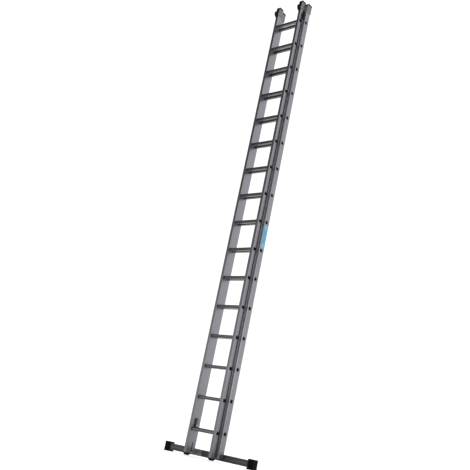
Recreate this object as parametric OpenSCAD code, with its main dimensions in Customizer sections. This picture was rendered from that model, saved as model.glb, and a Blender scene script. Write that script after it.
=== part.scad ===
// Two-section aluminium extension ladder with a stabiliser bar and wall wheels.
// +Z runs up the stiles, X along the rungs, and -Y is the wheel side.
// The narrower fly section stands in front of the wider base section.

/* [Sections] */
// Rungs in each section
rung_count = 16; // [6:1:16]
// Distance from one rung to the next
rung_pitch = 280; // [260:1:300]
// Height of the first base rung above the ground
base_first_rung = 236; // [230:1:260]
// How far the fly's rungs sit below the base's when closed
fly_drop = 6; // [0:1:8]
// Overall width of the base section
base_w = 376; // [372:2:420]
// Overall width of the fly section
fly_w = 320; // [300:2:320]
// Gap between the two sections, front to back
section_gap = 4; // [3:0.5:5]
// Height of the closed ladder
closed_h = 4668; // [4640:1:4700]

/* [Stiles] */
// Thickness of a fly stile, across the ladder
fly_stile_t = 28; // [26:1:30]
// Thickness of a base stile, which reaches in behind the fly's
base_stile_t = 36; // [32:1:37]
// Depth of a fly stile, front to back
fly_d = 63; // [60:1:66]
// Depth of a base stile, front to back
base_d = 67; // [64:1:72]
// Wall of the stile extrusions
stile_wall = 2.2; // [1.8:0.1:2.6]
// Rounding of the stiles' long edges
stile_r = 3; // [2:0.5:4]
// Height of the cut lower end of the fly stiles
fly_bottom = 25; // [22:1:30]
// Height of the cut lower end of the base stiles
base_bottom = 30; // [26:1:34]

/* [Guide grooves] */
// Mouth of the fly's guide groove, front to back
fly_groove_w = 12; // [10:0.5:12]
// Lip between the fly's groove and the back of its stile
fly_lip = 4.5; // [4:0.5:5]
// Mouth of the base's guide groove, front to back
base_groove_w = 7; // [6:0.5:7]
// Lip between the base's groove and the front of its stile
base_lip = 3.5; // [3:0.5:3.5]
// Depth of both grooves, across the ladder
groove_deep = 9; // [8:0.5:10]

/* [Rungs] */
// Depth of a rung, front to back
rung_d = 30; // [28:0.5:32]
// Height of a rung
rung_h = 28; // [27:0.5:30]
// Radius of the bore through a rung
rung_bore_r = 12; // [10:0.5:12]
// Rounding of the rung's two edges beside the tread
tread_r = 4; // [3:0.5:5]
// Rounding of the rung's two lower edges
belly_r = 7; // [5:0.5:9]
// Grip grooves along a tread
tread_grooves = 5; // [3:1:6]
// Bead that is swaged up against the inside of a stile
bead_t = 1.5; // [1:0.1:2]
// Lip that is flared over the outside of a stile
flare_t = 0.8; // [0.5:0.1:1]

/* [Stabiliser bar] */
// Length of the bar without its feet
bar_len = 1024; // [900:2:1200]
// Depth of the bar, front to back
bar_d = 45; // [40:1:50]
// Height of the bar's section
bar_h = 56; // [50:1:60]
// Height of the bar's underside above the ground
bar_clear = 15; // [12:1:20]
// Wall of the bar
bar_wall = 2.5; // [2:0.1:3]

/* [Feet] */
// Length of a bar foot, along the bar
bar_foot_len = 63; // [58:1:80]
// Height of a bar foot
bar_foot_h = 84; // [80:1:90]
// Rubber around the bar inside its foot
bar_foot_wall = 6; // [5:0.5:7]
// Radius of the rounded sole under a fly stile
fly_sole_r = 36; // [34:1:40]

/* [Top ends] */
// Height of the grey bracket and black cap at a stile's top
top_bracket_h = 102; // [96:1:110]
// Plate of the top brackets
bracket_t = 2.5; // [2:0.1:3]
// Thickness of the black cap's top plate
cap_t = 15; // [8:0.5:16]
// Radius of a wall wheel
wheel_r = 39; // [36:1:42]
// Width of a wall wheel
wheel_w = 22; // [20:0.5:23]
// How far a wheel stands out in front of its stile
wheel_proud = 36; // [32:1:38]
// Height of the wheels' axis below the top
wheel_drop = 93; // [90:1:96]
// Radius of a wheel's axle
axle_r = 5; // [4:0.5:6]

/* [Rung catches] */
// Distance from a catch's pivot to the fly's first rung
catch_rise = 32; // [32:1:45]
// Thickness of a catch plate
catch_t = 8; // [6:0.5:9]
// Radius of a catch's pivot pin
catch_pin_r = 5; // [4:0.5:5]
// Reach of a catch's arm from its pivot
catch_reach = 64; // [60:1:66]

/* [Label] */
// Height of the label on the right base stile
label_h = 236; // [120:1:240]
// Width of the label
label_w = 52; // [30:1:54]

/* [Hidden] */
$fn = 64;
two_digits = [for (i = [1:rung_count]) str(i < 10 ? "0" : "", i)];
BASE_RUNGS = [for (n = two_digits) str("base_rung_", n)];
FLY_RUNGS = [for (n = two_digits) str("fly_rung_", n)];

aluminium = "darkgray";
dark_aluminium = "dimgray";
black = "black";
steel = "silver";
blue = "deepskyblue";

touch = 0.1;                         // clearance of parts that are pushed together
base_x = base_w / 2 - base_stile_t;  // inner face of the right base stile
base_out = base_w / 2;
fly_x = fly_w / 2 - fly_stile_t;     // inner face of the right fly stile
fly_out = fly_w / 2;

// Heights.
fly_first_rung = base_first_rung - fly_drop;
top_bracket_z = closed_h - top_bracket_h;
fly_top = top_bracket_z + 34;
base_top = closed_h - cap_t - 20;
wheel_z = closed_h - wheel_drop;
corner_r = 22;                       // round upper front corners of the top ends
corner_in = 4;                       // keeps the caps' plugs behind those corners
bar_mid_z = bar_clear + bar_h / 2;

// Places from front to back. The parting plane between the sections is set so
// that the origin lies under the middle of the whole ladder.
front_reach = section_gap / 2 + fly_d + wheel_proud;
nut_reach = 9;
rear_reach = section_gap / 2 + base_d + bar_d + nut_reach;
parting_y = (front_reach - rear_reach) / 2;
fly_back = parting_y - section_gap / 2;
fly_front = fly_back - fly_d;
base_front = parting_y + section_gap / 2;
base_back = base_front + base_d;
fly_rung_y = fly_front + 30;
base_rung_y = base_front + 27;
wheel_y = fly_front - wheel_proud + wheel_r;
bar_back = base_back + bar_d;

// The grooves: the fly's opens outwards near its back, the base's opens inwards
// near its front, so that each section's guides hook into the other.
fly_groove_y = fly_back - fly_lip - fly_groove_w;
base_groove_y = base_front + base_lip;
base_groove_back = base_groove_y + base_groove_w;

// Guides.
guide_play = 1;                      // clearance between a guide and its groove
guide_h = 80;
top_guide_z = top_bracket_z - 100;
foot_guide_z = 40;
rivet_r = 2.4;

// The tread's height above the rung's own centre line.
tread_z = rung_h / 2;

// Stabiliser bar fixings.
bolt_r = 5;
bolt_x = base_w / 2 - 13;
bracket_leg = 85;
bracket_plate = 3;
screw_r = 3;
leg_screws_x = [base_x - 30, base_x - 62];
stile_screws_y = [base_front + 26, base_front + 50];

// Catches.
catch_pivot_y = parting_y - 12;
catch_pivot_z = fly_first_rung + catch_rise;
catch_inner_x = fly_x - 16;
catch_boss_r = 11;
catch_play = 0.08;                   // running clearance on the pivot pin
catch_gap = 0.4;                     // left over a base rung when a catch is down

// ---------- shared shapes ----------

// A part drawn for the right side, shown on the side that is asked for.
module on_side(side) {
    if (side > 0) children();
    else mirror([1, 0, 0]) children();
}

// The same part on both sides, as two solids.
module on_both_sides() {
    for (side = [-1, 1]) on_side(side) children();
}

// A flat shape drawn in Y and Z, given a thickness along X.
module across(x, t) {
    translate([x, 0, 0]) rotate([90, 0, 90]) linear_extrude(t) children();
}

// A round bar or hole along X.
module rod_x(x0, x1, y, z, r) {
    translate([x0, y, z]) rotate([0, 90, 0]) cylinder(h = x1 - x0, r = r);
}

// A round bar or hole along Y.
module rod_y(x, y0, y1, z, r) {
    translate([x, y0, z]) rotate([-90, 0, 0]) cylinder(h = y1 - y0, r = r);
}

module box(x0, x1, y0, y1, z0, z1) {
    translate([x0, y0, z0]) cube([x1 - x0, y1 - y0, z1 - z0]);
}

// A rectangle with round corners, from its lower left corner.
module rounded(w, h, r) {
    translate([r, 0]) square([w - 2 * r, h]);
    translate([0, r]) square([w, h - 2 * r]);
    for (x = [r, w - r], y = [r, h - r]) translate([x, y]) circle(r);
}

// ---------- stiles ----------

// The holes that a section's rungs pass through.
module rung_holes(first, y, x0, x1) {
    for (i = [0:rung_count - 1])
        translate([0, y, first + i * rung_pitch]) across(x0, x1 - x0) rung_outline(touch);
}

// Hollow box section of a fly stile, its groove opening outwards.
module fly_section() {
    groove_front = fly_groove_y - fly_front;
    chamber_d = groove_front - 2 * stile_wall;
    slim_w = fly_stile_t - groove_deep - 2 * stile_wall;
    difference() {
        rounded(fly_stile_t, fly_d, stile_r);
        translate([fly_stile_t - groove_deep, groove_front]) square([groove_deep + 1, fly_groove_w]);
        translate([stile_wall, stile_wall]) square([fly_stile_t - 2 * stile_wall, chamber_d]);
        translate([stile_wall, groove_front])
            square([slim_w, fly_d - groove_front - stile_wall]);
    }
}

// Hollow box section of a base stile, its groove opening inwards.
module base_section() {
    groove_back = base_lip + base_groove_w;
    slim_w = base_stile_t - groove_deep - 2 * stile_wall;
    difference() {
        rounded(base_stile_t, base_d, stile_r);
        translate([-1, base_lip]) square([groove_deep + 1, base_groove_w]);
        translate([stile_wall, groove_back + stile_wall])
            square([base_stile_t - 2 * stile_wall, base_d - groove_back - 2 * stile_wall]);
        translate([groove_deep + stile_wall, stile_wall])
            square([slim_w, groove_back - stile_wall]);
    }
}

module fly_stile(side) {
    color(aluminium) on_side(side) difference() {
        translate([fly_x, fly_front, fly_bottom]) linear_extrude(fly_top - fly_bottom) fly_section();
        rung_holes(fly_first_rung, fly_rung_y, fly_x - 1, fly_out + 1);
        wheel_slot();
        rod_x(fly_x - 1, fly_out + 1, wheel_y, wheel_z, axle_r + touch);
        rod_x(fly_x - 1, fly_x + stile_wall + 1, catch_pivot_y, catch_pivot_z, catch_pin_r);
        foot_guide_studs(fly_back - stile_wall - 1, fly_back + 1);
    }
}

// The front of a fly stile is cut away around its wheel.
module wheel_slot() {
    box(fly_x + stile_wall, fly_out - stile_wall, fly_front - 1, fly_groove_y - stile_wall,
        wheel_z - wheel_r - 5, fly_top + 1);
}

module base_stile(side) {
    color(aluminium) on_side(side) difference() {
        translate([base_x, base_front, base_bottom]) linear_extrude(base_top - base_bottom)
            base_section();
        rung_holes(base_first_rung, base_rung_y, base_x - 1, base_out + 1);
        rod_y(bolt_x, base_front - 1, base_back + 1, bar_mid_z, bolt_r);
        for (y = stile_screws_y) rod_x(base_x - 1, base_x + stile_wall + 1, y, bar_mid_z, screw_r);
        top_guide_rivet_holes();
    }
}

// ---------- rungs ----------

// Box with round corners, drawn in Y and Z about the rung's centre line.
module rung_outline(grow = 0) {
    half_w = rung_d / 2 + grow;
    top = tread_z + grow;
    translate([-half_w, belly_r - top]) square([2 * half_w, 2 * top - tread_r - belly_r]);
    translate([tread_r - half_w, 0]) square([2 * (half_w - tread_r), top]);
    translate([belly_r - half_w, -top]) square([2 * (half_w - belly_r), top]);
    for (s = [-1, 1]) {
        translate([s * (half_w - tread_r), top - tread_r]) circle(tread_r);
        translate([s * (half_w - belly_r), belly_r - top]) circle(belly_r);
    }
}

// One rung: a bored box section with a grooved tread, a bead inside each
// stile and a flared lip outside it.
module rung(y, z, inner_x, outer_x) {
    tip_x = outer_x + flare_t;
    groove_gap = (rung_d - 2 * tread_r) / tread_grooves;
    groove_y = [for (i = [0:tread_grooves - 1]) (i - (tread_grooves - 1) / 2) * groove_gap];
    color(aluminium) translate([0, y, z]) difference() {
        union() {
            across(-tip_x, 2 * tip_x) rung_outline();
            for (x = [-inner_x, inner_x - bead_t]) across(x, bead_t) rung_outline(1.5);
            for (x = [-tip_x, outer_x]) across(x, flare_t) rung_outline(1.2);
        }
        rod_x(-tip_x - 1, tip_x + 1, 0, 0, rung_bore_r);
        for (y = groove_y)
            box(3 - inner_x, inner_x - 3, y - 0.8, y + 0.8, tread_z - 0.7, tread_z + 1);
    }
}

module base_rung(i) {
    rung(base_rung_y, base_first_rung + i * rung_pitch, base_x, base_out);
}

module fly_rung(i) {
    rung(fly_rung_y, fly_first_rung + i * rung_pitch, fly_x, fly_out);
}

// ---------- foot of the base section ----------

// Hollow bar with lengthwise grooves in its front and back faces.
module stabiliser_bar() {
    groove_z = [bar_h / 2 - 14, bar_h / 2 + 11];
    color(dark_aluminium) difference() {
        translate([0, base_back, bar_clear]) across(-bar_len / 2, bar_len) difference() {
            rounded(bar_d, bar_h, 2);
            translate([bar_wall, bar_wall]) square([bar_d - 2 * bar_wall, bar_h - 2 * bar_wall]);
            for (z = groove_z, y = [-1, bar_d - 1]) translate([y, z]) square([2, 3]);
        }
        on_both_sides() {
            rod_y(bolt_x, base_back - 1, bar_back + 1, bar_mid_z, bolt_r);
            for (x = leg_screws_x) rod_y(x, base_back - 1, base_back + bar_wall + 1, bar_mid_z, screw_r);
        }
    }
}

// Rubber foot pushed over an end of the bar, with a wider sole.
module bar_foot(side) {
    foot_end = bar_len / 2 + 8;
    foot_start = foot_end - bar_foot_len;
    color(black) on_side(side) difference() {
        union() {
            translate([0, base_back - bar_foot_wall, 0]) across(foot_start, bar_foot_len)
                rounded(bar_d + 2 * bar_foot_wall, bar_foot_h, 5);
            box(foot_start - 2, foot_end + 2, base_back - bar_foot_wall - 2,
                bar_back + bar_foot_wall + 2, 0, 11);
        }
        box(foot_start - 3, bar_len / 2, base_back, bar_back, bar_clear, bar_clear + bar_h);
    }
}

// Angle bracket between the bar's front and a base stile's inner face.
module bar_brackets() {
    leg_x = base_x - bracket_leg;
    color(aluminium) on_both_sides() difference() {
        translate([0, 0, bar_clear]) linear_extrude(bar_h) {
            translate([leg_x, base_back - bracket_plate]) square([bracket_leg, bracket_plate]);
            translate([base_x - bracket_plate, base_groove_back + 3])
                square([bracket_plate, base_back - base_groove_back - 3]);
        }
        for (x = leg_screws_x)
            rod_y(x, base_back - bracket_plate - 1, base_back + 1, bar_mid_z, screw_r);
        for (y = stile_screws_y)
            rod_x(base_x - bracket_plate - 1, base_x + 1, y, bar_mid_z, screw_r);
    }
}

// Hexagon bolts that go through stile and bar, from front to back.
module bar_bolts() {
    color(steel) on_both_sides() {
        rod_y(bolt_x, base_front, bar_back + nut_reach, bar_mid_z, bolt_r);
        translate([bolt_x, base_front, bar_mid_z]) rotate([90, 0, 0]) cylinder(h = 5, r = 9.5, $fn = 6);
    }
}

module bar_nuts() {
    color(steel) on_both_sides() difference() {
        translate([bolt_x, bar_back + 8, bar_mid_z]) rotate([90, 0, 0]) cylinder(h = 8, r = 9.5, $fn = 6);
        rod_y(bolt_x, bar_back - 1, bar_back + nut_reach + 1, bar_mid_z, bolt_r);
    }
}

module bracket_screws() {
    head_r = 6;
    shank = 8;
    color(steel) on_both_sides() {
        for (x = leg_screws_x) {
            rod_y(x, base_back - bracket_plate - 2.5, base_back - bracket_plate, bar_mid_z, head_r);
            rod_y(x, base_back - bracket_plate, base_back + shank, bar_mid_z, screw_r);
        }
        for (y = stile_screws_y) {
            rod_x(base_x - bracket_plate - 2.5, base_x - bracket_plate, y, bar_mid_z, head_r);
            rod_x(base_x - bracket_plate, base_x + shank, y, bar_mid_z, screw_r);
        }
    }
}

// Plugs that close the lower ends of the base stiles, under the bolts.
module base_stile_plugs() {
    main_y = base_groove_back + stile_wall;
    color(black) on_both_sides() {
        translate([base_x, base_front, base_bottom - 3]) linear_extrude(3) difference() {
            rounded(base_stile_t, base_d, stile_r);
            translate([-1, base_lip]) square([groove_deep + 1, base_groove_w]);
        }
        box(base_x + stile_wall + touch, base_out - stile_wall - touch, main_y + touch,
            base_back - stile_wall - touch, base_bottom, base_bottom + 5);
    }
}

// ---------- foot of the fly section ----------

// Round rubber sole under a fly stile, with a plug up into the stile.
module fly_foot(side) {
    overhang = 1.5;
    mid_y = fly_front + fly_d / 2;
    color(black) on_side(side) {
        intersection() {
            rod_x(fly_x - overhang, fly_out + overhang, mid_y, fly_sole_r + 4, fly_sole_r);
            box(fly_x - overhang, fly_out + overhang, fly_front - overhang,
                fly_back + overhang, 0, fly_bottom);
        }
        box(fly_x + stile_wall + touch, fly_out - stile_wall - touch,
            fly_front + stile_wall + touch, fly_groove_y - stile_wall - touch,
            fly_bottom, fly_bottom + 45);
    }
}

// ---------- top ends ----------

// Side view of a stile's top end: round at its upper front corner.
module top_profile(front, back, z0, z1) {
    intersection() {
        union() {
            translate([front, z0]) square([back - front, closed_h - corner_r - z0]);
            translate([front + corner_r, z0]) square([back - front - corner_r, closed_h - z0]);
            translate([front + corner_r, closed_h - corner_r]) circle(corner_r);
        }
        translate([front, z0]) square([back - front, z1 - z0]);
    }
}

// Cheeks on both faces of a fly stile's top, which carry the wheel's axle.
module wheel_brackets() {
    ear_r = 13;
    back_t = 1.5;
    color(aluminium) on_both_sides() difference() {
        union() {
            for (x = [fly_x - bracket_t, fly_out]) across(x, bracket_t) {
                top_profile(fly_front - 2, fly_back + back_t, top_bracket_z, closed_h - cap_t);
                translate([wheel_y, wheel_z]) circle(ear_r);
            }
            box(fly_x - bracket_t, fly_out + bracket_t, fly_back, fly_back + back_t,
                top_bracket_z, closed_h - cap_t);
        }
        rod_x(fly_x - bracket_t - 1, fly_out + bracket_t + 1, wheel_y, wheel_z, axle_r);
    }
}

// Black cap over a fly stile's bracket. Its front lip closes the bracket down to
// the wheel.
module fly_top_caps() {
    overhang = 2;
    lip_z = wheel_z + wheel_r + 3;
    inner = fly_x - bracket_t - overhang;
    outer = fly_out + bracket_t + overhang;
    color(black) on_both_sides() {
        difference() {
            across(inner, outer - inner)
                top_profile(fly_front - 2 - overhang, fly_back + 1.5, lip_z, closed_h);
            across(inner - 1, outer - inner + 2)
                top_profile(fly_front - 2, base_front, lip_z - 1, closed_h - cap_t);
        }
        box(fly_x + touch, fly_out - touch, wheel_y + 14, fly_back - touch, lip_z, closed_h - cap_t);
    }
}

// Grey bracket around the top of a base stile, standing out at its back.
module base_top_brackets() {
    bulge = 5;
    color(aluminium) on_both_sides() difference() {
        across(base_x - bracket_t, base_stile_t + 2 * bracket_t)
            top_profile(base_front, base_back + bulge, top_bracket_z, closed_h - cap_t);
        box(base_x, base_out, base_front - 1, base_back, top_bracket_z - 1, closed_h - cap_t + 1);
    }
}

// Black cap over a base stile, with a plug down into the stile.
module base_top_caps() {
    bulge = 5;
    overhang = 1;
    color(black) on_both_sides() {
        intersection() {
            across(base_x - bracket_t - overhang, base_stile_t + 2 * (bracket_t + overhang))
                top_profile(base_front, base_back + bulge + overhang, top_bracket_z, closed_h);
            box(0, base_w, base_front - 1, bar_back, closed_h - cap_t, closed_h + 1);
        }
        box(base_x + touch, base_out - touch, base_front + corner_in, base_back - touch,
            base_top + touch, closed_h - cap_t);
    }
}

// Grooved wheel with a raised hub, free on its axle.
module wall_wheel(side) {
    play = 0.08;
    hub_w = wheel_w + 1;
    rim_w = 9;
    mid_x = fly_x + fly_stile_t / 2;
    color(black) on_side(side) translate([mid_x, wheel_y, wheel_z]) rotate([0, 90, 0])
        rotate_extrude() difference() {
            union() {
                translate([axle_r + play, -hub_w / 2]) square([6, hub_w]);
                translate([axle_r + play, -4]) square([wheel_r - axle_r - play - rim_w + 1, 8]);
                translate([wheel_r - rim_w, -wheel_w / 2]) rounded(rim_w, wheel_w, 2.5);
            }
            translate([wheel_r + 0.6, 0]) circle(2.4);
        }
}

// Headed axles through the wheel brackets' cheeks.
module wheel_axles() {
    head = 2.5;
    inner = fly_x - bracket_t;
    outer = fly_out + bracket_t;
    color(steel) on_both_sides() {
        rod_x(inner, outer, wheel_y, wheel_z, axle_r);
        rod_x(inner - head, inner, wheel_y, wheel_z, axle_r + 3);
        rod_x(outer, outer + head, wheel_y, wheel_z, axle_r + 3);
    }
}

// ---------- guides ----------

module top_guide_rivet_holes() {
    for (z = [top_guide_z + 15, top_guide_z + guide_h - 15])
        rod_y(base_x + 16, base_front - 1, base_front + stile_wall + 1, z, rivet_r);
}

// Blocks on the base section that hook into the fly's outward grooves.
module top_guides() {
    body_x = fly_out + guide_play + 0.5;
    front_y = fly_groove_y + guide_play;
    color(black) on_both_sides() difference() {
        union() {
            box(body_x, base_out - 4, front_y, base_front, top_guide_z, top_guide_z + guide_h);
            box(fly_out - groove_deep + guide_play, body_x, front_y,
                fly_groove_y + fly_groove_w - guide_play, top_guide_z, top_guide_z + guide_h);
        }
        for (z = [top_guide_z + 15, top_guide_z + guide_h - 15])
            rod_y(base_x + 16, front_y - 1, base_front + 1, z, rivet_r);
    }
}

module top_guide_rivets() {
    front_y = fly_groove_y + guide_play;
    color(steel) on_both_sides() for (z = [top_guide_z + 15, top_guide_z + guide_h - 15]) {
        rod_y(base_x + 16, front_y, base_front + stile_wall + 2, z, rivet_r);
        rod_y(base_x + 16, front_y - 1.5, front_y, z, rivet_r + 2);
    }
}

module foot_guide_studs(y0, y1) {
    for (z = [foot_guide_z + 15, foot_guide_z + guide_h - 15])
        rod_y(fly_x + stile_wall + 6, y0, y1, z, 3);
}

// Blocks on the fly section that hook into the base's inward grooves.
module foot_guides() {
    body_x = base_x - guide_play - 0.5;
    back_y = base_groove_back - guide_play;
    color(black) on_both_sides() {
        box(fly_x + 3, body_x, fly_back, back_y, foot_guide_z, foot_guide_z + guide_h);
        box(body_x, base_x + groove_deep - guide_play, base_groove_y + guide_play, back_y,
            foot_guide_z, foot_guide_z + guide_h);
        foot_guide_studs(fly_back - stile_wall - 2, fly_back);
    }
}

// ---------- rung catches ----------

// Plate that stands up against its stile, clear of the base's rungs. It swings
// down towards the base by 90 degrees, and its pad then lies over a base rung.
module rung_catch(side) {
    plate_x = catch_inner_x + 2;
    rung_dy = base_rung_y - catch_pivot_y;
    pad_w = rung_d + 6;
    pad_reach = catch_pivot_z - base_first_rung - tread_z - catch_gap;
    color(steel) on_side(side) translate([0, catch_pivot_y, catch_pivot_z]) difference() {
        union() {
            across(plate_x, catch_t) {
                circle(catch_boss_r);
                translate([-catch_boss_r, 0]) square([2 * catch_boss_r, catch_reach]);
                translate([0, rung_dy - pad_w / 2]) square([pad_reach, pad_w]);
            }
            rod_x(plate_x + catch_t, fly_x - 0.5, 0, 0, catch_boss_r);
        }
        rod_x(plate_x - 1, fly_x + 1, 0, 0, catch_pin_r + catch_play);
    }
}

module catch_pins() {
    color(steel) on_both_sides() {
        rod_x(catch_inner_x, fly_x + stile_wall, catch_pivot_y, catch_pivot_z, catch_pin_r);
        rod_x(catch_inner_x - 2.5, catch_inner_x, catch_pivot_y, catch_pivot_z, catch_pin_r + 4);
        rod_x(fly_x + stile_wall, fly_x + stile_wall + 2.5, catch_pivot_y, catch_pivot_z,
            catch_pin_r + 1);
    }
}

// ---------- label ----------

// Blank label on the outer face of the right base stile.
module label() {
    mid_z = base_first_rung + 6.5 * rung_pitch;
    label_y = base_front + (base_d - label_w) / 2;
    color(blue) translate([0, label_y, mid_z - label_h / 2])
        across(base_out, 0.5) rounded(label_w, label_h, 4);
}

// ---------- nodes ----------

base_stile(-1);  // base_stile_left
base_stile(1);  // base_stile_right
fly_stile(-1);  // fly_stile_left
fly_stile(1);  // fly_stile_right
stabiliser_bar();
bar_foot(-1);  // bar_foot_left
bar_foot(1);  // bar_foot_right
bar_brackets();
bar_bolts();
bar_nuts();
bracket_screws();
base_stile_plugs();
fly_foot(-1);  // fly_foot_left
fly_foot(1);  // fly_foot_right
wheel_brackets();
fly_top_caps();
base_top_brackets();
base_top_caps();
wall_wheel(-1);  // wall_wheel_left
wall_wheel(1);  // wall_wheel_right
wheel_axles();
top_guides();
top_guide_rivets();
foot_guides();
rung_catch(-1);  // rung_catch_left
rung_catch(1);  // rung_catch_right
catch_pins();
label();
for (i = [0:rung_count - 1]) {
    base_rung(i);
    fly_rung(i);
}
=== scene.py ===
import math
import bmesh
import bpy
from mathutils import Matrix, Vector


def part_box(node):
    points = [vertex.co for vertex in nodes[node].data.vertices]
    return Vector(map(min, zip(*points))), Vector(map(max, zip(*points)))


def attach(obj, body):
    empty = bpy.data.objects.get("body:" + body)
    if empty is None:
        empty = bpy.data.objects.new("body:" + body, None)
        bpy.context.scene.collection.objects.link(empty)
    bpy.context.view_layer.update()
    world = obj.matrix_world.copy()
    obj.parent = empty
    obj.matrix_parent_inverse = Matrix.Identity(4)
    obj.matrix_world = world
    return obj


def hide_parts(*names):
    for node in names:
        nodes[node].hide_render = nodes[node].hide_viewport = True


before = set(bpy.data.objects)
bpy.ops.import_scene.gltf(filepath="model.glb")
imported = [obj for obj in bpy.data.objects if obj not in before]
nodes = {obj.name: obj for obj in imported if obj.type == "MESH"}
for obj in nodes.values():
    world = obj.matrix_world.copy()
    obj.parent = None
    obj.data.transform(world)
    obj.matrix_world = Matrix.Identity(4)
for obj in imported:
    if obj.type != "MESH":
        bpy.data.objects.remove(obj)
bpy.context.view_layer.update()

# ---------- sizes taken from the ladder, in metres ----------

RUNG_PITCH = 0.280
BASE_FIRST_RUNG = 0.236
FLY_FIRST_RUNG = 0.230
BASE_RUNG_Y = 0.018
FLY_RUNG_Y = -0.046
BASE_FRONT = -0.009
BASE_BACK = 0.058
FLY_FRONT = -0.076
FLY_BACK = -0.013
RUNG_COUNT = 16
RUNG_BORE = 0.012
RUNG_HALF_DEPTH = 0.015
BASE_INNER_X = 0.152
BASE_OUTER_X = 0.188
FLY_INNER_X = 0.132
FLY_OUTER_X = 0.160
RUNG_FLARE = 0.0008
RUNG_PLAIN_END = 0.006
RUNG_GRIP_LOW = -0.0068
RUNG_GRIP_HIGH = 0.0098
LABEL_Y = (BASE_FRONT + BASE_BACK) / 2
LABEL_Z = BASE_FIRST_RUNG + 6.5 * RUNG_PITCH
SIDES = ("left", "right")


# ---------- shader values and finishes ----------

class Value:
    """A shader socket that works in sums and products."""

    def __init__(self, shading, socket):
        self.shading = shading
        self.socket = socket

    def __add__(self, other):
        return self.shading.math("ADD", self, other)

    def __sub__(self, other):
        return self.shading.math("SUBTRACT", self, other)

    def __rsub__(self, other):
        return self.shading.math("SUBTRACT", other, self)

    def __mul__(self, other):
        return self.shading.math("MULTIPLY", self, other)

    def __truediv__(self, other):
        return self.shading.math("DIVIDE", self, other)

    __radd__ = __add__
    __rmul__ = __mul__


class Shading:
    """A node tree under construction, for a material or for the world."""

    def __init__(self, tree):
        self.tree = tree

    def set_socket(self, socket, value):
        """Links a Value to the socket, or sets the socket to a plain value."""
        if isinstance(value, Value):
            self.tree.links.new(value.socket, socket)
        else:
            socket.default_value = value

    def add(self, kind, settings, inputs, output=0):
        """Adds a node, sets it up, feeds its sockets and gives one of its outputs."""
        node = self.tree.nodes.new(kind)
        for name, value in settings.items():
            setattr(node, name, value)
        for name, value in inputs.items():
            self.set_socket(node.inputs[name], value)
        return Value(self, node.outputs[output])

    def math(self, operation, *values):
        return self.add("ShaderNodeMath", {"operation": operation}, dict(enumerate(values)))

    def parts(self, vector):
        """A vector's x, y and z."""
        split = self.add("ShaderNodeSeparateXYZ", {}, {0: vector}).socket.node
        return [Value(self, out) for out in split.outputs]


class Finish(Shading):
    """A material under construction, with its Principled shader."""

    def __init__(self, name, metallic=0.0, coat=0.0, specular=0.5):
        self.material = bpy.data.materials.new(name)
        self.material.use_nodes = True
        super().__init__(self.material.node_tree)
        self.shader = self.tree.nodes["Principled BSDF"]
        self.shader.inputs["Metallic"].default_value = metallic
        self.shader.inputs["Coat Weight"].default_value = coat
        self.shader.inputs["Specular IOR Level"].default_value = specular

    def place(self):
        return self.add("ShaderNodeTexCoord", {}, {}, "Object")

    def stretched(self, vector, scale):
        return self.add("ShaderNodeVectorMath", {"operation": "MULTIPLY"}, {0: vector, 1: scale})

    def noise(self, vector, scale, detail=3.0, rough=0.55):
        inputs = {"Vector": vector, "Scale": scale, "Detail": detail, "Roughness": rough}
        return self.add("ShaderNodeTexNoise", {}, inputs, "Fac")

    def step(self, value, low, high):
        """0 below low, 1 above high, smooth between."""
        inputs = {"Value": value, "From Min": low, "From Max": high}
        return self.add("ShaderNodeMapRange", {"interpolation_type": "SMOOTHSTEP"}, inputs)

    def band(self, value, low, high, soft):
        """1 between low and high, 0 outside, with soft edges."""
        rise = self.step(value, low - soft, low + soft)
        return rise * (1 - self.step(value, high - soft, high + soft))

    def mix(self, amount, first, second):
        """Blends two colours, which are sockets 6 and 7 of a Mix node and its output 2."""
        inputs = {0: amount, 6: self.opaque(first), 7: self.opaque(second)}
        return self.add("ShaderNodeMix", {"data_type": "RGBA"}, inputs, 2)

    def opaque(self, colour):
        """Gives a plain colour its alpha."""
        return colour if isinstance(colour, Value) else (*colour, 1.0)

    def look(self, colour, roughness, height=None, bump=0.1, depth=0.001):
        self.set_socket(self.shader.inputs["Base Color"], self.opaque(colour))
        self.set_socket(self.shader.inputs["Roughness"], roughness)
        if height is not None:
            inputs = {"Strength": bump, "Distance": depth, "Height": height}
            normal = self.add("ShaderNodeBump", {}, inputs, "Normal")
            self.set_socket(self.shader.inputs["Normal"], normal)
        return self.material


def near_rung(finish, z, first_rung):
    """Height above the nearest rung's centre line."""
    turns = (z - first_rung) / RUNG_PITCH
    return (turns - finish.math("ROUND", turns)) * RUNG_PITCH


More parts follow.
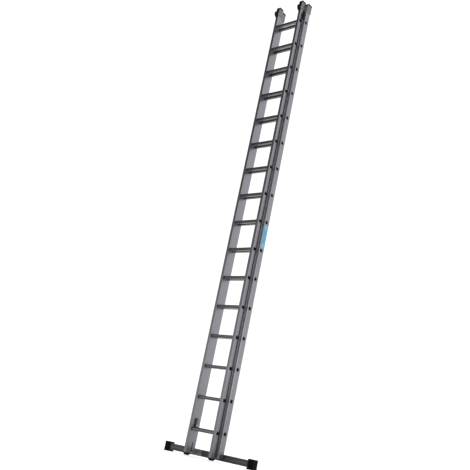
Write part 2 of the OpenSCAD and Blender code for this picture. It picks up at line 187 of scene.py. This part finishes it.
def stile_aluminium(name, first_rung, rung_y, front_y, back_y, front_highlight_amount):
    """Mill-finished extrusion: die lines, a press mark round every rung, a ring of painted shade
    round that mark, a painted highlight on the front face, dust low down.
    """
    press_ring = 0.0185
    hole_shade_ring = 0.023
    ring_blur = 0.002
    corner_start = 0.0006
    corner_end = 0.003
    f = Finish(name, metallic=0.9)
    place = f.place()
    _, y, z = f.parts(place)
    lines = f.noise(f.stretched(place, (900, 900, 1.2)), 1.0, detail=2.0)
    clouds = f.noise(f.stretched(place, (14, 14, 3)), 1.0, detail=4.0)
    scratches = f.noise(f.stretched(place, (260, 260, 30)), 1.0, detail=2.0)
    up = near_rung(f, z, first_rung)
    away = f.math("SQRT", up * up + (y - rung_y) * (y - rung_y))
    pressed = f.band(away, 0.0, press_ring, ring_blur)
    # Painted shade: a dark ring round each rung hole that widens the dark hole.
    hole_shade = f.band(away, press_ring, hole_shade_ring, ring_blur)
    # Painted highlight: the front face and its edge are painted pale, scaled by the last argument
    # (0.8 on the base, 0 on the fly).
    front_highlight = 1 - f.step(y, front_y + corner_start, front_y + corner_end)
    corner = f.step(y, back_y - corner_end, back_y - corner_start)
    dusty = 1 - f.step(z + clouds * 0.4, 0.25, 1.1)
    grey = f.mix(lines, (0.265, 0.258, 0.285), (0.345, 0.337, 0.368))
    grey = f.mix(clouds * 0.5, grey, (0.25, 0.245, 0.267))
    grey = f.mix(f.step(scratches, 0.66, 0.74) * 0.5, grey, (0.48, 0.47, 0.50))
    grey = f.mix(pressed * 0.35, grey, (0.42, 0.41, 0.44))
    grey = f.mix(hole_shade * 0.4, grey, (0.17, 0.165, 0.18))
    grey = f.mix(front_highlight * front_highlight_amount, grey, (0.80, 0.80, 0.84))
    grey = f.mix(corner * 0.15, grey, (0.60, 0.60, 0.64))
    grey = f.mix(dusty * 0.45, grey, (0.145, 0.142, 0.148))
    shine = 0.22 + lines * 0.08 + clouds * 0.08 + dusty * 0.08
    return f.look(grey, shine, lines * 0.6 + scratches * 0.4, bump=0.12, depth=0.0004)


def rung_aluminium(name, first_rung, rung_y, half_length):
    """Ribbed extrusion: painted shade as dark bands on its tread, low on its faces and patchily
    under it, flared ends and bore painted dark as shade, tread paler in the middle from wear.
    """
    rib_pitch = 0.0016
    f = Finish(name, metallic=0.85)
    place = f.place()
    x, y, z = f.parts(place)
    up = near_rung(f, z, first_rung)
    lines = f.noise(f.stretched(place, (1.5, 700, 700)), 1.0, detail=2.0)
    clouds = f.noise(f.stretched(place, (9, 40, 40)), 1.0, detail=3.0)
    away = f.math("SQRT", up * up + (y - rung_y) * (y - rung_y))
    # Painted shade: the bore is painted near black.
    inside = 1 - f.step(away, RUNG_BORE + 0.0002, RUNG_BORE + 0.0008)
    # Painted shade: the flared end beyond the stile's outer face is painted dark, widening the
    # dark bore.
    swaged = f.step(f.math("ABSOLUTE", x), half_length - 0.0007, half_length - 0.0003)
    ribs = f.math("SINE", up * (2 * math.pi / rib_pitch))
    # Painted shade: dark bands high and low on the rung, and a patchy dark underside.
    upper = f.step(up, 0.0055, 0.0075)
    lower = 1 - f.step(up, -0.0065, -0.0045)
    under = 1 - f.step(up, -0.0132, -0.0112)
    shade_bands = f.math("MAXIMUM", upper, lower * (1 - under))
    trodden = f.band(x, -0.085, 0.085, 0.04) * upper
    grey = f.mix(lines, (0.17, 0.167, 0.172), (0.25, 0.246, 0.252))
    grey = f.mix(shade_bands * 0.85, grey, (0.035, 0.035, 0.036))
    grey = f.mix(clouds * under * 0.8, grey, (0.10, 0.099, 0.101))
    grey = f.mix(trodden * clouds * 0.3, grey, (0.30, 0.30, 0.30))
    grey = f.mix(swaged * 0.9, grey, (0.02, 0.02, 0.021))
    grey = f.mix(inside, grey, (0.006, 0.006, 0.006))
    shine = 0.20 + lines * 0.10 + clouds * 0.08
    return f.look(grey, shine, ribs * shade_bands * 0.5 + lines * 0.3, bump=0.35, depth=0.0004)


def bar_aluminium(name):
    """Dark extrusion: die lines, a paler stripe along its middle, scuffs near its feet."""
    f = Finish(name, metallic=0.8)
    place = f.place()
    x, _, z = f.parts(place)
    lines = f.noise(f.stretched(place, (1.2, 500, 500)), 1.0, detail=2.0)
    clouds = f.noise(f.stretched(place, (8, 30, 30)), 1.0, detail=4.0)
    flecks = f.noise(f.stretched(place, (60, 300, 300)), 1.0, detail=2.0)
    scuffed = f.step(f.math("ABSOLUTE", x), 0.36, 0.46)
    stripe = f.band(z, 0.0385, 0.0475, 0.0012)
    dark = f.mix(lines, (0.085, 0.084, 0.088), (0.135, 0.133, 0.140))
    dark = f.mix(stripe * 0.5, dark, (0.19, 0.187, 0.195))
    dark = f.mix(clouds * 0.5, dark, (0.075, 0.074, 0.077))
    dark = f.mix(f.step(flecks, 0.64, 0.72) * (0.2 + scuffed * 0.4), dark, (0.3, 0.3, 0.31))
    shine = 0.40 + lines * 0.10 + clouds * 0.1
    return f.look(dark, shine, lines, bump=0.12, depth=0.0004)


def pressed_sheet(name, light, dark):
    """Rolled sheet with faint blotches and nicks, for the brackets and the rivets."""
    f = Finish(name, metallic=0.85)
    place = f.place()
    rolled = f.noise(f.stretched(place, (400, 60, 8)), 1.0, detail=2.0)
    clouds = f.noise(place, 35.0, detail=4.0)
    nicks = f.noise(place, 420.0, detail=2.0)
    grey = f.mix(rolled * 0.6 + clouds * 0.4, dark, light)
    grey = f.mix(f.step(nicks, 0.68, 0.75) * 0.4, grey, (0.4, 0.4, 0.42))
    return f.look(grey, 0.38 + clouds * 0.16, rolled * 0.6 + nicks * 0.4, bump=0.1, depth=0.0003)


def moulded_black(name, base, dusty, grain_size, low_rough, high_rough):
    """Moulded rubber or plastic: fine spark grain, patches of paler dust, and scuffs."""
    f = Finish(name, specular=0.12)
    place = f.place()
    grain = f.noise(place, grain_size, detail=3.0)
    dust = f.noise(place, 45.0, detail=5.0)
    scuff = f.noise(f.stretched(place, (60, 60, 220)), 1.0, detail=3.0)
    black = f.mix(f.step(dust, 0.45, 0.75) * 0.6, base, dusty)
    black = f.mix(f.step(scuff, 0.62, 0.72) * 0.35, black, dusty)
    shine = low_rough + (high_rough - low_rough) * dust
    return f.look(black, shine, grain, bump=0.25, depth=0.0003)


def plated_steel(name, light, dark):
    """Plated steel with a faint turned grain and dull spots."""
    f = Finish(name, metallic=1.0)
    place = f.place()
    turned = f.noise(f.stretched(place, (700, 90, 700)), 1.0, detail=2.0)
    spots = f.noise(place, 160.0, detail=4.0)
    grey = f.mix(turned, dark, light)
    grey = f.mix(f.step(spots, 0.55, 0.7) * 0.4, grey, dark)
    return f.look(grey, 0.3 + spots * 0.25, turned * 0.6 + spots * 0.4, bump=0.12, depth=0.0003)


def label_film(name, y_mid, z_mid):
    """Blank blue film: two pale bars near each end and a thin pale line along both edges."""
    f = Finish(name, coat=0.3)
    place = f.place()
    _, y, z = f.parts(place)
    up = f.math("ABSOLUTE", z - z_mid)
    side = f.math("ABSOLUTE", y - y_mid)
    haze = f.noise(place, 60.0, detail=4.0)
    scratch = f.noise(f.stretched(place, (10, 400, 25)), 1.0, detail=2.0)
    bars = f.math("MAXIMUM", f.band(up, 0.070, 0.078, 0.001), f.band(up, 0.090, 0.103, 0.001))
    inside = 1 - f.step(side, 0.0175, 0.0185)
    edge = f.band(side, 0.0215, 0.0235, 0.0005)
    blue = f.mix(haze, (0.05, 0.31, 0.54), (0.10, 0.40, 0.62))
    blue = f.mix(bars * inside * 0.6, blue, (0.50, 0.68, 0.78))
    blue = f.mix(edge * 0.4, blue, (0.36, 0.58, 0.70))
    blue = f.mix(f.step(scratch, 0.66, 0.74) * 0.4, blue, (0.5, 0.7, 0.8))
    return f.look(blue, 0.28 + haze * 0.14, scratch, bump=0.05, depth=0.0002)


finishes = {
    "base_stile": stile_aluminium("base_stile_aluminium", BASE_FIRST_RUNG, BASE_RUNG_Y,
                                  BASE_FRONT, BASE_BACK, 0.8),
    "fly_stile": stile_aluminium("fly_stile_aluminium", FLY_FIRST_RUNG, FLY_RUNG_Y,
                                 FLY_FRONT, FLY_BACK, 0.0),
    "base_rung": rung_aluminium("base_rung_aluminium", BASE_FIRST_RUNG, BASE_RUNG_Y,
                                BASE_OUTER_X + RUNG_FLARE),
    "fly_rung": rung_aluminium("fly_rung_aluminium", FLY_FIRST_RUNG, FLY_RUNG_Y,
                               FLY_OUTER_X + RUNG_FLARE),
    "bar": bar_aluminium("bar_aluminium"),
    "bracket": pressed_sheet("bracket_aluminium", (0.25, 0.245, 0.265), (0.18, 0.177, 0.19)),
    "angle": pressed_sheet("angle_aluminium", (0.42, 0.415, 0.44), (0.32, 0.316, 0.335)),
    "rubber": moulded_black("black_rubber", (0.003, 0.003, 0.0032), (0.012, 0.012, 0.012), 900.0,
                            0.5, 0.8),
    "plastic": moulded_black("black_plastic", (0.003, 0.003, 0.0034), (0.012, 0.012, 0.012),
                             1400.0, 0.35, 0.6),
    "guide": moulded_black("guide_plastic", (0.018, 0.018, 0.020), (0.045, 0.045, 0.048),
                           1400.0, 0.40, 0.65),
    "wheel": moulded_black("wheel_plastic", (0.003, 0.003, 0.0034), (0.016, 0.016, 0.016),
                           1200.0, 0.35, 0.6),
    "steel": plated_steel("plated_steel", (0.48, 0.48, 0.47), (0.30, 0.30, 0.30)),
    "catch": plated_steel("catch_steel", (0.17, 0.168, 0.175), (0.10, 0.099, 0.104)),
    "label": label_film("blue_label", LABEL_Y, LABEL_Z),
}

cad_finish = {
    "stabiliser_bar": "bar",
    "bar_foot": "rubber",
    "bar_brackets": "angle",
    "bar_bolts": "steel",
    "bar_nuts": "steel",
    "bracket_screws": "steel",
    "base_stile_plugs": "plastic",
    "base_stile": "base_stile",
    "fly_stile": "fly_stile",
    "fly_foot": "rubber",
    "wheel_brackets": "bracket",
    "fly_top_caps": "plastic",
    "base_top_brackets": "bracket",
    "base_top_caps": "plastic",
    "wall_wheel": "wheel",
    "wheel_axles": "steel",
    "top_guides": "guide",
    "top_guide_rivets": "bracket",
    "foot_guides": "guide",
    "rung_catch": "catch",
    "catch_pins": "steel",
    "label": "label",
    "base_rung": "base_rung",
    "fly_rung": "fly_rung",
}


def finish_for(node_name):
    """The finish whose key is the longest start of the node's name."""
    keys = [key for key in cad_finish if node_name.startswith(key)]
    return finishes[cad_finish[max(keys, key=len)]]


# ---------- modelling ----------

ALONG_X = Vector((1, 0, 0))
ALONG_Y = Vector((0, 1, 0))
ALONG_Z = Vector((0, 0, 1))
WELD_DISTANCE = 0.00002
NEAR = 0.0001
SMOOTH_BELOW = math.radians(35)


def only(piece):
    """Makes one object the selected and active one."""
    bpy.ops.object.select_all(action="DESELECT")
    piece.select_set(True)
    bpy.context.view_layer.objects.active = piece


def edit(piece):
    """Opens one object's mesh, ready to pick faces."""
    only(piece)
    bpy.ops.object.mode_set(mode="EDIT")
    bpy.ops.mesh.select_mode(type="FACE")


def stop_editing():
    bpy.ops.object.mode_set(mode="OBJECT")


def pick_faces(piece, wanted):
    """Selects the faces whose centre and normal pass the test."""
    bpy.ops.mesh.select_all(action="DESELECT")
    mesh = bmesh.from_edit_mesh(piece.data)
    for face in mesh.faces:
        face.select_set(wanted(face.calc_center_median(), face.normal))
    bmesh.update_edit_mesh(piece.data)


def cut_across(axis, places):
    """Cuts the whole piece at each place along an axis."""
    for place in places:
        bpy.ops.mesh.select_all(action="SELECT")
        bpy.ops.mesh.bisect(plane_co=axis * place, plane_no=axis)


def press(piece, wanted, depth):
    """Extrudes the wanted faces along their normals; a negative depth sinks them."""
    pick_faces(piece, wanted)
    bpy.ops.mesh.extrude_region_shrink_fatten(TRANSFORM_OT_shrink_fatten={"value": depth})


def soften(piece, width):
    """Rounds the piece's sharp edges."""
    bevel = piece.modifiers.new("round_edges", "BEVEL")
    bevel.width = width
    bevel.segments = 2
    bevel.limit_method = "ANGLE"
    bevel.angle_limit = SMOOTH_BELOW
    bevel.use_clamp_overlap = True


def finish_piece(piece, finish, body, *replaced):
    """Applies the modifiers, paints the piece, ties it to its body and hides the CAD nodes it
    replaces.
    """
    only(piece)
    for modifier in list(piece.modifiers):
        bpy.ops.object.modifier_apply(modifier=modifier.name)
    bpy.ops.object.transform_apply(location=True, rotation=True, scale=True)
    bpy.ops.object.shade_smooth_by_angle(angle=SMOOTH_BELOW)
    piece.data.materials.clear()
    piece.data.materials.append(finishes[finish])
    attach(piece, body)
    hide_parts(*replaced)


def whole_copy(node_name, piece_name):
    """A new piece with a CAD node's own shape, its triangles joined into whole faces."""
    piece = bpy.data.objects.new(piece_name, nodes[node_name].data.copy())
    bpy.context.scene.collection.objects.link(piece)
    edit(piece)
    bpy.ops.mesh.customdata_custom_splitnormals_clear()
    bpy.ops.mesh.select_all(action="SELECT")
    bpy.ops.mesh.remove_doubles(threshold=WELD_DISTANCE)
    bpy.ops.mesh.dissolve_limited(angle_limit=math.radians(1.0))
    return piece


def steps(low, high, count):
    """count evenly spaced places strictly between low and high."""
    return [low + (high - low) * (i + 1) / (count + 1) for i in range(count)]


def in_groove(value, edges):
    """True in every second gap between the edges, leaving the two end gaps alone."""
    gap = sum(value > edge for edge in edges)
    return 0 < gap < len(edges) and gap % 2 == 1


def ribbed_bar_foot(side):
    """Rubber end foot: upright ribs round its walls and a treaded, flared sole."""
    node_name = "bar_foot_" + side
    low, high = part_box(node_name)
    margin = 0.006
    sole_overhang = 0.002
    rib_bottom = 0.020
    rib_top = 0.074
    rib_depth = 0.0014
    tread_depth = 0.0020
    edges = steps(low.x + margin, high.x - margin, 12)
    rows = steps(low.y + margin, high.y - margin, 8)
    outer_end = max(abs(low.x), abs(high.x)) - sole_overhang

    def on_wall(centre):
        return rib_bottom < centre.z < rib_top

    def long_wall(centre, normal):
        outside = centre.y < low.y + 2 * sole_overhang or centre.y > high.y - 2 * sole_overhang
        return abs(normal.y) > 0.9 and on_wall(centre) and outside and in_groove(centre.x, edges)

    def end_wall(centre, normal):
        outside = abs(centre.x) > outer_end - 0.005
        return abs(normal.x) > 0.9 and on_wall(centre) and outside and in_groove(centre.y, rows)

    def sole(centre, normal):
        return normal.z < -0.9 and centre.z < 0.001 and in_groove(centre.x, edges)

    piece = whole_copy(node_name, "ribbed_foot_" + side)
    cut_across(ALONG_X, edges)
    cut_across(ALONG_Y, rows)
    cut_across(ALONG_Z, [rib_bottom, rib_top])
    press(piece, long_wall, -rib_depth)
    press(piece, end_wall, -rib_depth)
    press(piece, sole, -tread_depth)
    stop_editing()
    soften(piece, 0.0007)
    finish_piece(piece, "rubber", "base", node_name)


def treaded_fly_foot(side):
    """Rubber sole with cross grooves, as it stands under the fly section."""
    node_name = "fly_foot_" + side
    low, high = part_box(node_name)
    margin = 0.004
    tread_below = 0.020
    side_bottom = 0.006
    side_top = 0.0215
    tread_depth = 0.0016
    side_depth = 0.0008
    rows = steps(low.y + margin, high.y - margin, 14)

    def tread(centre, normal):
        return normal.z < -0.3 and centre.z < tread_below and in_groove(centre.y, rows)

    def sole_side(centre, normal):
        on_side = abs(normal.x) > 0.9 and side_bottom < centre.z < side_top
        return on_side and in_groove(centre.y, rows)

    piece = whole_copy(node_name, "treaded_foot_" + side)
    cut_across(ALONG_Y, rows)
    cut_across(ALONG_Z, [side_top])
    press(piece, tread, -tread_depth)
    press(piece, sole_side, -side_depth)
    stop_editing()
    soften(piece, 0.0005)
    finish_piece(piece, "rubber", "fly", node_name)


def ribbed_rungs(section, first_z, y_mid, half_span):
    """A section's rungs: grip ribs along front and back, between softened swaged ends."""
    rib_depth = 0.0005
    finish = section + "_rung"
    cad_names = ["%s_rung_%02d" % (section, i + 1) for i in range(RUNG_COUNT)]
    edges = [first_z + up for up in steps(RUNG_GRIP_LOW, RUNG_GRIP_HIGH, 11)]

    def grip_rib(centre, normal):
        on_face = abs(normal.y) > 0.9 and abs(centre.y - y_mid) > RUNG_HALF_DEPTH - NEAR
        return on_face and abs(centre.x) < half_span and in_groove(centre.z, edges)

    piece = whole_copy(cad_names[0], section + "_ribbed_rung_01")
    cut_across(ALONG_X, [-half_span, half_span])
    cut_across(ALONG_Z, edges)
    press(piece, grip_rib, -rib_depth)
    stop_editing()
    soften(piece, 0.0004)
    finish_piece(piece, finish, section, cad_names[0])
    for i, cad_name in enumerate(cad_names[1:], start=1):
        only(piece)
        bpy.ops.object.duplicate()
        rung = bpy.context.object
        rung.name = "%s_ribbed_rung_%02d" % (section, i + 1)
        rung.location.z = i * RUNG_PITCH
        finish_piece(rung, finish, section, cad_name)


def spoked_wheel(side):
    """Wall wheel: grooved tread, sunken web with eight radial ribs, and a stepped hub."""
    node_name = "wall_wheel_" + side
    low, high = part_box(node_name)
    middle = (low + high) / 2
    radius = (high.z - low.z) / 2
    width = 0.022
    rim = 0.009
    hub_radius = 0.012
    hub_proud = 0.0005
    bore = 0.00508
    web = 0.0065
    groove_half = 0.0024
    groove_depth = 0.0018
    rib_count = 8
    rib_thickness = 0.0028
    rib_width = width - 0.004
    rib_start = hub_radius - 0.0005
    rib_end = radius - rim + 0.0005

    bpy.ops.object.select_all(action="DESELECT")
    bpy.ops.mesh.primitive_cylinder_add(vertices=96, radius=radius, depth=width, location=middle,
                                        rotation=(0, math.pi / 2, 0))
    piece = bpy.context.object
    piece.name = "spoked_wheel_" + side
    bpy.ops.object.transform_apply(location=True, rotation=True, scale=True)
    edit(piece)

    def off_axis(centre):
        return (centre - middle).yz.length

    def end_disc(way):
        """The test for the face in the middle of one end."""
        return lambda centre, normal: normal.x * way > 0.9 and off_axis(centre) < NEAR

    def both_discs(centre, normal):
        return abs(normal.x) > 0.9 and off_axis(centre) < NEAR

    def tread_middle(centre, normal):
        on_tread = off_axis(centre) > radius - 0.001
        return on_tread and abs(centre.x - middle.x) < groove_half - NEAR

    for way in (-1, 1):
        pick_faces(piece, end_disc(way))
        bpy.ops.mesh.inset(thickness=rim)
        bpy.ops.mesh.extrude_region_shrink_fatten(TRANSFORM_OT_shrink_fatten={"value": -web})
        bpy.ops.mesh.inset(thickness=radius - rim - hub_radius)
        bpy.ops.mesh.extrude_region_shrink_fatten(
            TRANSFORM_OT_shrink_fatten={"value": web + hub_proud})
        bpy.ops.mesh.inset(thickness=hub_radius - bore)
    pick_faces(piece, both_discs)
    bpy.ops.mesh.bridge_edge_loops()
    cut_across(ALONG_X, [middle.x - groove_half, middle.x + groove_half])
    press(piece, tread_middle, -groove_depth)
    stop_editing()

    ribs = []
    for i in range(rib_count):
        turn = i * 2 * math.pi / rib_count
        reach = (rib_start + rib_end) / 2
        place = middle + Vector((0, math.cos(turn), math.sin(turn))) * reach
        bpy.ops.mesh.primitive_cube_add(size=1.0, location=place, rotation=(turn, 0, 0),
                                        scale=(rib_width, rib_end - rib_start, rib_thickness))
        bpy.ops.object.transform_apply(location=True, rotation=True, scale=True)
        ribs.append(bpy.context.object)
    only(piece)
    for rib in ribs:
        rib.select_set(True)
    bpy.ops.object.join()
    soften(piece, 0.0006)
    finish_piece(piece, "wheel", "wheel_" + side, node_name)


# ---------- the ladder's pieces ----------

for node_name, cad_node in nodes.items():
    cad_node.data.materials.clear()
    cad_node.data.materials.append(finish_for(node_name))

edge_rounding = {
    "base_stile": 0.0006,
    "fly_stile": 0.0006,
    "stabiliser_bar": 0.0010,
    "bar_brackets": 0.0007,
    "bar_bolts": 0.0009,
    "bar_nuts": 0.0009,
    "bracket_screws": 0.0008,
    "wheel_brackets": 0.0006,
    "fly_top_caps": 0.0015,
    "base_top_brackets": 0.0006,
    "base_top_caps": 0.0015,
    "wheel_axles": 0.0008,
    "top_guides": 0.0010,
    "top_guide_rivets": 0.0007,
    "foot_guides": 0.0010,
    "rung_catch": 0.0008,
    "catch_pins": 0.0008,
}
for start, width in edge_rounding.items():
    for node_name, cad_node in nodes.items():
        if node_name.startswith(start):
            weld = cad_node.modifiers.new("join_triangles", "WELD")
            weld.merge_threshold = WELD_DISTANCE
            soften(cad_node, width)

ribbed_rungs("base", BASE_FIRST_RUNG, BASE_RUNG_Y, BASE_INNER_X - RUNG_PLAIN_END)
ribbed_rungs("fly", FLY_FIRST_RUNG, FLY_RUNG_Y, FLY_INNER_X - RUNG_PLAIN_END)
for side in SIDES:
    ribbed_bar_foot(side)
    treaded_fly_foot(side)
    spoked_wheel(side)


# ---------- floor, light and camera ----------

def studio_floor():
    """Pale floor that glows a little, so that it stays as light as the background."""
    bpy.ops.mesh.primitive_plane_add(size=60.0, location=(0, 0, -0.0005))
    floor = bpy.context.object
    floor.name = "studio_floor"
    f = Finish("pale_floor")
    haze = f.noise(f.place(), 0.6, detail=3.0)
    f.shader.inputs["Emission Color"].default_value = (1, 1, 1, 1)
    f.shader.inputs["Emission Strength"].default_value = 0.55
    floor.data.materials.append(f.look(f.mix(haze, (0.90, 0.90, 0.90), (0.93, 0.93, 0.93)), 0.6))


def studio_world():
    """White to look at. As a light it is strongest behind the ladder and weakest high in front."""
    least_glow = 0.05
    front_dimming = 0.3
    dimming_by_height = 3.0
    white = (1, 1, 1, 1)
    world = bpy.data.worlds.new("studio")
    bpy.context.scene.world = world
    world.use_nodes = True
    world.node_tree.nodes.clear()
    sky = Shading(world.node_tree)
    _, y, z = sky.parts(sky.add("ShaderNodeTexCoord", {}, {}, "Generated"))
    height = sky.math("MAXIMUM", z, 0.0)
    front = sky.math("MAXIMUM", y * -1.0, 0.0)
    shade = (height * dimming_by_height + front_dimming) * front
    glow = sky.math("MAXIMUM", 1 - shade, least_glow)
    lit = sky.add("ShaderNodeBackground", {}, {"Color": white, "Strength": glow})
    seen = sky.add("ShaderNodeBackground", {}, {"Color": white, "Strength": 1.1})
    camera_ray = sky.add("ShaderNodeLightPath", {}, {}, "Is Camera Ray")
    both = sky.add("ShaderNodeMixShader", {}, {0: camera_ray, 1: lit, 2: seen})
    out = world.node_tree.nodes.new("ShaderNodeOutputWorld")
    sky.set_socket(out.inputs["Surface"], both)


def studio_camera():
    """Camera near the ground, in front and to the right, tilted up along the ladder."""
    heading = math.radians(42.10)
    upward = math.radians(17.09)
    roll = math.radians(11.88)
    stand = Vector((4.050, -4.657, 0.150))
    lens = bpy.data.cameras.new("camera")
    lens.sensor_width = 36.0
    lens.lens = 51.75
    lens.clip_start = 0.05
    lens.clip_end = 200.0
    camera = bpy.data.objects.new("camera", lens)
    bpy.context.scene.collection.objects.link(camera)
    turn = Matrix.Rotation(heading, 4, "Z") @ Matrix.Rotation(math.pi / 2 + upward, 4, "X")
    camera.matrix_world = Matrix.Translation(stand) @ turn @ Matrix.Rotation(roll, 4, "Z")
    bpy.context.scene.camera = camera


studio_floor()
studio_world()
studio_camera()
bpy.context.scene.view_settings.view_transform = "Standard"
